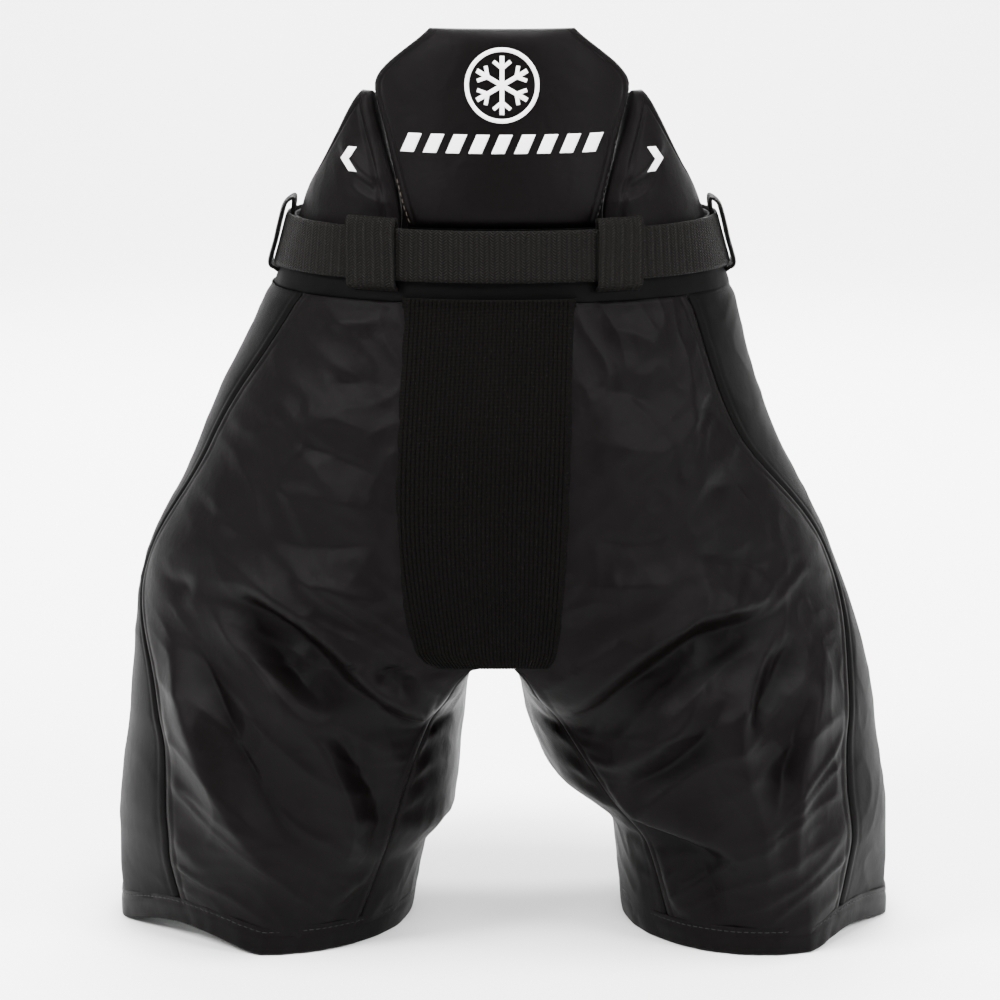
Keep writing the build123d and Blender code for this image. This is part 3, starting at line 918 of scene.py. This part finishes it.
def loop_outward(points):
    """Level unit arrows out of a closed loop of points."""
    n = unit(normals(points, wrap=True) * (1, 1, 0))
    centre = points.mean(1, keepdims=True)
    return n * np.sign(np.sum(n * (points - centre), -1, keepdims=True).mean())


def share_round(points):
    """How far round the loop each column is, from 0 to 1."""
    return np.arange(points.shape[1]) / points.shape[1]


def band(name, half, z, out, thick, look, node, seed):
    """A strip round the foot of a leg, which follows the folds of the cloth above it."""
    points = leg_loop(half, z)
    way = loop_outward(points)
    folds = back_relief(half.side, points[..., 0], points[..., 2])
    pucker = noise(share_round(points) * 46, z[:, None] / 16, seed)
    amount = 0.4 + smooth(-20, -55, points[..., 1]) * folds + out + 0.45 * pucker
    outer = off_floor(points + way * amount[..., None])
    inner = off_floor(points + way * (amount - thick)[..., None])
    obj = closed_grid(name, outer, inner, wrap=True, flip=half.sign < 0)
    dress(obj, look, node, body="leg_" + half.side)
    return outer


HEM_LINES = {}
HEM_ROWS, TAPE_ROWS = 14, 8


def make_hems():
    z = HEM_H * clustered(HEM_ROWS, 0.6)
    swell = 0.9 + 0.6 * np.sin(math.pi * np.linspace(0, 1, HEM_ROWS)) ** 0.5
    swell = (swell - 0.5 * bell(z, 11.5, 1.3))[:, None]
    for side, half in HALVES.items():
        HEM_LINES[side] = band(f"hem_cloth_{side}", half, z, swell, 2.6, "nylon",
                               f"hem_band_{side}", 21)
        band(f"hem_tape_{side}", half, np.linspace(0.6, 12, TAPE_ROWS), -1.5, 0.8, "hem_tape",
             f"hem_facing_{side}", 22)


# ---- linings and guards
LINING_DEPTH = 12.3


def lining(name, outer, inner, node, flip=False):
    """A tube of lining cloth from its two grids."""
    obj = closed_grid(name, outer, inner, wrap=True, flip=flip)
    dress(obj, "mesh_lining", node)
    declare_sheet(outer, wrap=True)
    return obj


def make_leg_lining(side, half):
    z = np.linspace(3, 146, 70)
    points = leg_loop(half, z)
    way = loop_outward(points)
    run, z = share_round(points), z[:, None]
    soft = noise(run * 22, z / 30, 31) + 0.5 * creases(run * 40, z / 18, 32)
    lip = smooth(9, 3, z) * (LINING_DEPTH - 2.8)
    outer = points + way * (soft * smooth(3, 12, z) + lip - LINING_DEPTH)[..., None]
    obj = lining(f"leg_lining_cloth_{side}", outer, outer - CLOTH * way, f"leg_lining_{side}",
                 flip=half.sign < 0)
    bend_at_hip(obj)


def make_hip_lining():
    angle = np.linspace(0, 2 * math.pi, 260, endpoint=False)[None, :]
    z = np.linspace(160, 334, 80)[:, None]
    run = angle / (2 * math.pi)
    soft = noise(run * 36, z / 30, 33) + 0.5 * creases(run * 60, z / 20, 34)
    depth = LINING_DEPTH - (LINING_DEPTH - 3.2) * smooth(322, 333, z) - soft * smooth(334, 322, z)
    obj = lining("hip_lining_cloth", on_waist(angle, z, depth), on_waist(angle, z, depth + CLOTH),
                 "hip_lining")
    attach(obj, "waist")


def rounded(count, corner):
    """Places from -1 to 1 over a rounded sheet, and its fullness: 1 inside and 0 at its edges."""
    u = np.linspace(-1, 1, count)[None, :]
    v = np.linspace(-1, 1, count)[:, None]
    full = ((1 - np.abs(u) ** 10) * (1 - np.abs(v) ** 10)) ** 0.5
    return u * np.sqrt(1 - corner * v**6), v * np.sqrt(1 - corner * u**6), full


def between(ends, t):
    """The place between two ends, for t from -1 to 1."""
    return (ends[0] + ends[1]) / 2 + (ends[1] - ends[0]) / 2 * t


def guard(name, half, span, heights, depths, look, node, body, fill=None):
    """A shaped plate or foam under the shell, with rounded corners and edges."""
    across, up, full = rounded(60, 0.22)
    q, z = between(span, across), between(heights, up)
    points = half.around(q, z)
    way = facing(normals(points), points * (0.6, 1, 0))
    thick = (depths[1] - depths[0]) / 2 * (0.12 + 0.88 * full)
    if fill:
        thick = thick * (1 - 0.08 * creases(q / 9, z / 14, 41) * full)
    middle = sum(depths) / 2
    outer = points - way * (middle - thick)[..., None]
    inner = points - way * (middle + thick)[..., None]
    obj = closed_grid(name, outer, inner, flip=half.sign < 0)
    dress(obj, look, node, body=body, fill=fill)


# Angles and heights of each guard's plate. Its foam is wider by the margin on each side.
GUARDS = {"thigh": ((-58, 30), (26, 138), (4, 4), (4, 2)),
          "hip": ((-36, 24), (222, 318), (4, 4), (4, 3))}
PLATE_DEPTHS, FOAM_DEPTHS = (2.6, 4.4), (4.9, 11.2)
FOAM_FILL = 0.9


def make_guards(side, half):
    for name, (span, heights, beside, above) in GUARDS.items():
        body = "leg_" + side if name == "thigh" else "waist"
        guard(f"{name}_guard_shell_{side}", half, span, heights, PLATE_DEPTHS, "plate",
              f"{name}_plate_{side}", body)
        guard(f"{name}_guard_foam_{side}", half, (span[0] - beside[0], span[1] + beside[1]),
              (heights[0] - above[0], heights[1] + above[1]), FOAM_DEPTHS, "foam",
              f"{name}_foam_{side}", body, FOAM_FILL)


def make_tailbone_foam():
    across, up, full = rounded(50, 0.2)
    x, z = 41 * across, 276 + 45 * up
    thick = 3.4 * (0.12 + 0.88 * full)
    obj = closed_grid("tailbone_guard_foam", back_point(x, z, -8.2 + thick),
                      back_point(x, z, -8.2 - thick))
    dress(obj, "foam", "tailbone_foam", body="waist", fill=FOAM_FILL)


# ---- waistband, belt and loops
def weld(obj, cap=False):
    """Joins points that coincide, closes the open ends if asked, and turns the faces outward."""
    mesh = bmesh.new()
    mesh.from_mesh(obj.data)
    bmesh.ops.remove_doubles(mesh, verts=mesh.verts, dist=1e-6)
    if cap:
        bmesh.ops.holes_fill(mesh, edges=[e for e in mesh.edges if e.is_boundary], sides=0)
    bmesh.ops.recalc_face_normals(mesh, faces=mesh.faces)
    mesh.to_mesh(obj.data)
    mesh.free()
    obj.data.polygons.foreach_set("use_smooth", np.ones(len(obj.data.polygons), bool))


def hoop(name, profile, look, node, seed, wave, span=None, cols=300):
    """A strip round the waist, from a closed outline of (depth, height) points.

    span gives its first and last angle, or is a function of height that does."""
    profile = np.asarray(profile, float)
    depth, height = profile[:, :1], profile[:, 1:]
    if span is None:
        angle = np.linspace(0, 2 * math.pi, cols, endpoint=False)
    else:
        start, stop = span(height) if callable(span) else span
        angle = start + (stop - start) * np.linspace(0, 1, cols)
    angle, z = np.broadcast_arrays(angle, height)
    depth = depth - wave * noise(angle * 9, height / 20, seed)
    z = z + 0.5 * wave * noise(angle * 5, 0, seed + 1)
    points = on_waist(angle, z, depth)
    points = np.concatenate([points, points[:1]])
    obj = sheet_grid(name, points, wrap=span is None)
    weld(obj, cap=span is not None)
    dress(obj, look, node, body="waist")


def strip_profile(outer, inner, low, high, edge=0.5, rows=9):
    """The closed outline of a flat strip with softened edges."""
    z = low + (high - low) * clustered(rows, 0.5)
    lift = edge * (1 - smooth(0, 1.6, np.minimum(z - low, high - z)))
    up = [(outer + a, b) for a, b in zip(lift, z)]
    down = [(inner - a, b) for a, b in zip(lift[::-1], z[::-1])]
    return up + down


BELT_DEPTH, TAIL_DEPTH = (-3.6, -1.8), (-5.7, -3.9)
BELT_GAP = 2.5            # half the gap of the belt under its buckle
TAIL_X = (-23.0, -59.5)


def make_waistband_and_belt():
    # The waistband's darker nylon is painted shade of its recess under the belt.
    hoop("waistband_cloth", strip_profile(0.1, 2.0, 325.5, 362.0), "waist_nylon_painted_shade", "waistband",
         51, 0.3)
    gap, front = BELT_GAP / waist_a(350.0), math.pi / 2
    hoop("belt_strap", strip_profile(*BELT_DEPTH, *BELT_Z, 0.35), "webbing", "belt_webbing",
         53, 0.12, (front + gap, front + 2 * math.pi - gap), 420)
    hoop("belt_free_end", strip_profile(*TAIL_DEPTH, *BELT_Z, 0.35), "webbing", "belt_tail",
         55, 0.05, [float(front_angle(x, 350.5)) for x in TAIL_X], 60)


def loop_strap(place, span, rise, low, high, thick=1.3):
    """A strap sewn above and below the belt that bows out over it by rise."""
    path = spline([(-0.75, 357.0), (-0.75, 363.0), (-2.4, high + 1.5), (-rise, high - 1.5),
                   (-rise - 0.3, high - 11),
                   (-rise, low + 15), (-rise + 0.2, low + 4.0), (-2.2, low + 1.2), (-0.2, low)], 7)
    step = np.gradient(path, axis=0)
    across = unit(np.stack([step[:, 1], -step[:, 0]], -1)) * thick / 2
    profile = np.concatenate([path + across, (path - across)[::-1]])
    hoop("loop_strap_" + place, profile, "webbing", "belt_loop_" + place, 57, 0.05, span, 26)


def upright(angle_at, x_start, x_stop):
    """The span of a strap whose side edges stay at the same two X all the way up."""
    return lambda z: (angle_at(x_start, z), angle_at(x_stop, z))


LOOP_X = {"back_left": (-73, -50), "back_right": (45, 66),
          "front_left": (-66, -86), "front_right": (86, 66)}
SIDE_LOOP = 0.12          # half the width of a side loop, in radians


def make_loops():
    for place, (start, stop) in LOOP_X.items():
        angle_at = back_angle if place.startswith("back") else front_angle
        loop_strap(place, upright(angle_at, start, stop), 4.9, 333.0, 366.0)
    for place, middle in (("side_left", math.pi), ("side_right", 0.0)):
        loop_strap(place, (middle - SIDE_LOOP, middle + SIDE_LOOP), 5.8, 334.0, 368.5, 1.5)


# ---- back pads
def pillow(name, low, high, surface, depths, body, nodes, fill, seed=60, folds=()):
    """A padded cover between two surfaces that meet in a seam all round. Returns its outer grid.

    low and high are (height, edge of the rows): the left edge and the right. surface(across, z,
    depth) places a point. depths are those of the crown and of the inside."""
    v = clustered(110, 0.55)[:, None]
    u = clustered(120, 0.55)[None, :]
    z = low[0] + (high[0] - low[0]) * v
    left, right = low[1](z), high[1](z)
    across = left + (right - left) * u
    full = ((1 - np.abs(2 * u - 1) ** 7) * (1 - np.abs(2 * v - 1) ** 9)) ** 0.5
    middle, spread = sum(depths) / 2, (depths[1] - depths[0]) / 2
    puff = (1 - 0.22 * (2 * u - 1) ** 2) * (1 - 0.16 * (2 * v - 1) ** 2)
    wrinkle = np.sin(z / 2.6 + 3 * noise(across / 22, z / 22, seed)) * bell(full, 0.25, 0.3)
    relief = (0.45 * noise(across / 26, z / 30, seed + 1) + 0.25 * wrinkle
              + 0.2 * (creases(across / 17, z / 24, seed + 2) - 0.3))
    for height, wide, points in folds:
        relief = relief + fold(1.65 * across, z + 0 * across, height, wide, wide, points, 0.3)
    groove = 0.9 * bell(np.minimum(u, 1 - u) * np.abs(right - left), 5.0, 0.9)
    outer = surface(across, z, middle + full * (groove - relief - spread * puff))
    obj = closed_grid(name, outer, surface(across, z, middle + spread * full * 0.9))
    weld(obj)
    dress(obj, "nylon", *nodes, body=body, fill=fill)
    return outer


def spine_surface(x, z, depth):
    return on_waist(back_angle(x, z), z, depth)


def kidney_surface(side):
    """Places points by degrees from the wearer's side towards the middle of the back."""
    def place(q, z, depth):
        turn = np.radians(q)
        return on_waist(-turn if SIDES[side] > 0 else math.pi + turn, z, depth)
    return place


SPINE_EDGE = curve([(362, 48), (410, 61), (430, 66), (459, 37)])
KIDNEY_BACK = curve([(338, 61), (366, 60), (410, 46.5), (427, 40.5)])
KIDNEY_FRONT = curve([(338, 2), (372, 4), (390, 15), (410, 26), (427, 35)])
# Creases of the kidney pads beside the spine pad: height, width, points as (along, height).
KIDNEY_FOLDS = [(1.8, 4.5, [(48, 402), (62, 396), (76, 388), (92, 384)]),
                (-1.8, 4.0, [(56, 393), (70, 386), (88, 378)]),
                (1.5, 4.0, [(62, 386), (80, 377), (98, 373)])]


def make_spine_pad():
    return pillow("spine_pad_cushion", (362.5, lambda z: -SPINE_EDGE(z)), (458.5, SPINE_EDGE),
                  spine_surface, (-1.0, 14.5), "spine_pad", ("spine_pad_cover", "spine_pad_foam"),
                  0.75)


def make_kidney_pad(side, seed):
    pillow(f"kidney_pad_cushion_{side}", (338.0, KIDNEY_FRONT), (427.0, KIDNEY_BACK),
           kidney_surface(side), (1.0, 13.5), "waist",
           (f"kidney_pad_cover_{side}", f"kidney_pad_foam_{side}"), 0.7, seed, KIDNEY_FOLDS)


def make_lumbar_cushion():
    x = np.linspace(-49, 49, 60)[None, :]
    z = np.linspace(337.5, 361, 16)[:, None]
    obj = closed_grid("lumbar_cushion", spine_surface(x, z, 3.0),
                      spine_surface(x, z, 12.0 + bell(z, 349, 9)))
    dress(obj, "mesh_lining", "lumbar_pad", body="waist", fill=0.8)


PRINT_STEP = 0.002        # longest edge of a print's mesh, in metres
PRINT_LIFT = 0.00035      # from the pad's cloth, in metres


def print_outline(node):
    """The back faces of a CAD print, cut small enough to follow the cloth."""
    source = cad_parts[node]
    mesh = bmesh.new()
    mesh.from_mesh(source.data)
    mesh.transform(source.matrix_world)
    mesh.normal_update()
    away = [f for f in mesh.faces if f.normal.y > -0.35]
    bmesh.ops.delete(mesh, geom=away, context="FACES")
    bmesh.ops.triangulate(mesh, faces=mesh.faces)
    for _ in range(5):
        long = [e for e in mesh.edges if e.calc_length() > PRINT_STEP]
        if long:
            bmesh.ops.subdivide_edges(mesh, edges=long, cuts=1)
            bmesh.ops.triangulate(mesh, faces=mesh.faces)
    return mesh


def lay_print(name, node, pad_name, body, shift=0.0, drop=0.0):
    """Lays the CAD print's own outline on the pad's cloth, moved sideways and down in mm."""
    mesh = print_outline(node)
    pad = bpy.data.objects[pad_name].data
    tree = bvhtree.BVHTree.FromPolygons([v.co[:] for v in pad.vertices],
                                        [tuple(p.vertices) for p in pad.polygons])
    for v in mesh.verts:
        v.co.x += shift * MM
        v.co.z -= drop * MM
        hit = tree.ray_cast(mathutils.Vector((v.co.x, -0.3, v.co.z)), mathutils.Vector((0, 1, 0)))
        if hit[0] is not None:
            v.co.y = hit[0].y - PRINT_LIFT
    data = bpy.data.meshes.new(name)
    mesh.to_mesh(data)
    mesh.free()
    obj = add_object(name, data)
    thicken(obj, 0.3)
    dress(obj, "print_white", node, body=body)


def make_prints():
    lay_print("flake_print", "spine_emblem", "spine_pad_cushion", "spine_pad")
    lay_print("bar_print", "spine_stripe", "spine_pad_cushion", "spine_pad")
    for side in SIDES:
        lay_print(f"chevron_print_{side}", f"kidney_chevron_{side}",
                  f"kidney_pad_cushion_{side}", "waist", shift=-4.0 * SIDES[side], drop=7.0)


# ---- fly
def front_patch(name, xs, zs, depths, look, node, body):
    """A hemmed rectangle of cloth on the front, between two X, two heights and two depths."""
    x = xs[0] + (xs[1] - xs[0]) * clustered(40, 0.5)[None, :]
    z = zs[0] + (zs[1] - zs[0]) * clustered(60, 0.5)[:, None]
    edge = np.minimum(np.minimum(x - xs[0], xs[1] - x), np.minimum(z - zs[0], zs[1] - z))
    hem = 0.25 * bell(edge, 2.0, 1.6) - 0.2 * bell(edge, 5.0, 0.8)
    outer = on_waist(front_angle(x, z), z, depths[0] - hem)
    obj = closed_grid(name, outer, on_waist(front_angle(x, z), z, depths[1]))
    dress(obj, look, node, body=body)
    declare_sheet(outer)


def make_fly():
    front_patch("fly_flap_cloth", (-24, 22), (238, 316), (-2.8, -1.4), "nylon", "fly_flap",
                "fly_flap")
    front_patch("fly_loop_tape", (-22, -6), (242, 312), (-0.9, 0.3), "hook_loop", "loop_tape",
                "waist")
    front_patch("fly_underlap_cloth", (-22, 22), (222, 322), (1.6, 2.4), "nylon",
                "fly_underlap", "waist")


# ---- stitching
STITCH, STITCH_PITCH, THREAD, THREAD_LIFT = 2.4, 3.4, 0.24, 0.1
RING = 6                  # points round a thread
# Rings of one stitch: place along it, share of the thread's radius, height over the lift.
STITCH_RINGS = np.array([(-0.5, 0.25, -0.35), (-0.36, 0.85, 0.0), (0.0, 1.0, 0.15),
                         (0.36, 0.85, 0.0), (0.5, 0.25, -0.35)])


def stitch_faces():
    """The faces of one stitch: its sides, and two at each end."""
    sides = grid_faces(len(STITCH_RINGS), RING, wrap=True)
    cap = np.array([[0, 1, 2, 3], [0, 3, 4, 5]])
    return np.concatenate([sides, cap, cap + RING * (len(STITCH_RINGS) - 1)])


def stitch_points(path, way):
    """Points of a row of stitches along a path with normals: stitch, ring, turn."""
    run = np.concatenate([[0], np.cumsum(np.linalg.norm(np.diff(path, axis=0), axis=1))])
    centres = np.arange(STITCH_PITCH, run[-1] - STITCH_PITCH, STITCH_PITCH)

    def read(values, at):
        columns = [np.interp(at, run, values[:, k]) for k in range(3)]
        return np.stack(columns, -1)[:, None, :]

    at, out = read(path, centres), unit(read(way, centres))
    along = unit(read(path, centres + 1.0) - at)
    side = np.cross(along, out)[:, :, None]
    place, share, height = (STITCH_RINGS[:, k, None] for k in range(3))
    middle = at + along * place * STITCH + out * (THREAD_LIFT + height * THREAD)
    turn = np.linspace(0, 2 * math.pi, RING, endpoint=False)[:, None]
    spoke = np.cos(turn) * side + np.sin(turn) * out[:, :, None]
    return middle[:, :, None] + THREAD * share[:, None] * spoke


def stitches(name, paths, body=None, look="thread"):
    """One object of thread stitches along (path, normals) pairs."""
    points = np.concatenate([stitch_points(*path) for path in paths])
    first = np.arange(len(points)) * len(STITCH_RINGS) * RING
    obj = make_object(name, points, (stitch_faces() + first[:, None, None]).reshape(-1, 4))
    weld(obj)
    return dress(obj, look, body=body)


def beside_edge(points, edge, distance, outward, rows):
    """The line at a distance from one side edge of a grid, between two heights, with normals."""
    pick = np.abs(edge_runs(points)[edge] - distance).argmin(1)
    index = np.arange(len(points))
    line, way = points[index, pick], facing(normals(points), outward)[index, pick]
    keep = (line[:, 2] > rows[0]) & (line[:, 2] < rows[1])
    return line[keep], way[keep]


# Panel, side edge (0 or 1) and distance of each seam's thread.
SEAM_THREADS = [("back", 0, 3.4), ("back", 0, 5.4), ("side", 0, 3.4), ("side", 1, 3.4)]
HEM_THREAD_ROW = 10


def make_leg_stitches(side, half):
    paths = []
    for name, edge, distance in SEAM_THREADS:
        points = PANEL_GRIDS[name, side]
        paths.append(beside_edge(points, edge, distance, half.outward(points),
                                 (18, SHELL_TOP - 4)))
    bend_at_hip(stitches(f"seam_thread_{side}", paths))
    hem = HEM_LINES[side]
    ring = [np.concatenate([line, line[:1]])
            for line in (hem[HEM_THREAD_ROW], loop_outward(hem)[HEM_THREAD_ROW])]
    stitches(f"hem_thread_{side}", [ring], "leg_" + side)


def make_pad_stitches(outer):
    def path(edge, low, high):
        return beside_edge(outer, edge, 3.2, outer * (1, 1, 0), (low, high))

    stitches("spine_pad_thread", [path(0, 390, 458), path(1, 363, 458)], "spine_pad")
    stitches("spine_pad_pale_thread", [path(0, 363, 390)], "spine_pad", "pale_thread")


# ---- CAD nodes that stay
KEPT_NODES = {
    "belt_keeper": "buckle_plastic", "buckle_frame": "buckle_plastic", "buckle_pin": "steel",
    "buckle_lever": "buckle_plastic", "hook_tape": "hook_loop",
    "spine_pad_plate": "plate", "kidney_pad_plate_left": "plate",
    "kidney_pad_plate_right": "plate", "tailbone_plate": "plate",
}


make_shell()
make_seat_panel()
make_gusset()
make_hems()
for side, half in HALVES.items():
    make_leg_lining(side, half)
make_hip_lining()
for side, half in HALVES.items():
    make_guards(side, half)
make_tailbone_foam()
make_waistband_and_belt()
make_loops()
spine_grid = make_spine_pad()
for side, seed in (("left", 70), ("right", 80)):
    make_kidney_pad(side, seed)
make_lumbar_cushion()
make_prints()
make_fly()
for side, half in HALVES.items():
    make_leg_stitches(side, half)
make_pad_stitches(spine_grid)
for name, look in KEPT_NODES.items():
    wear(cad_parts[name], look)


# ---- studio
def aimed(name, data, place, target):
    """Adds a lamp or camera that looks from a place towards a target."""
    made = add_object(name, data)
    made.location = place
    aim = mathutils.Vector(target) - made.location
    made.rotation_euler = aim.to_track_quat("-Z", "Y").to_euler()
    return made


# Place, target, diameter and watts of each lamp, in metres.
MIDDLE = (0, 0, 0.23)
LAMPS = {"key_left": ((-1.5, -1.0, 1.5), MIDDLE, 0.8, 110),
         "key_right": ((1.5, -1.1, 1.2), MIDDLE, 0.8, 75),
         "top": ((0.1, -0.3, 2.2), MIDDLE, 0.9, 120),
         "behind": ((0.0, 1.8, 1.4), MIDDLE, 1.6, 60),
         "paper": ((0.0, 1.2, 2.4), (0, 3.2, 0.3), 1.5, 260)}


def make_paper():
    """A sheet that is the floor and rises behind the object in a round sweep."""
    turn = np.linspace(0, math.pi / 2, 13)
    side_view = [(-9e3, 0), *zip(2400 + 900 * np.sin(turn), 900 - 900 * np.cos(turn)), (3300, 4000)]
    paper = sheet_grid("studio_paper", np.array([[(x, y, z) for x in (-9e3, 9e3)]
                                                 for y, z in side_view]))
    s = Shader("studio_paper")
    s.set(Base_Color=rgba(0.94), Roughness=0.9, Specular_IOR_Level=0.1)
    paper.data.materials.append(s.material)


def make_light():
    world = bpy.data.worlds.new("studio_air")
    world.use_nodes = True
    world.node_tree.nodes["Background"].inputs["Color"].default_value = rgba(1)
    world.node_tree.nodes["Background"].inputs["Strength"].default_value = 1.0
    bpy.context.scene.world = world
    for name, (place, target, size, power) in LAMPS.items():
        data = bpy.data.lights.new(name, "AREA")
        data.shape, data.size, data.energy = "DISK", size, power
        aimed(name, data, place, target)


def make_camera():
    data = bpy.data.cameras.new("studio_camera")
    data.lens, data.sensor_width, data.shift_x = 141.5, 36.0, -0.002
    bpy.context.scene.camera = aimed("studio_camera", data, (0, -1.963, 0.597), (0, 0, 0.215))


make_paper()
make_light()
make_camera()
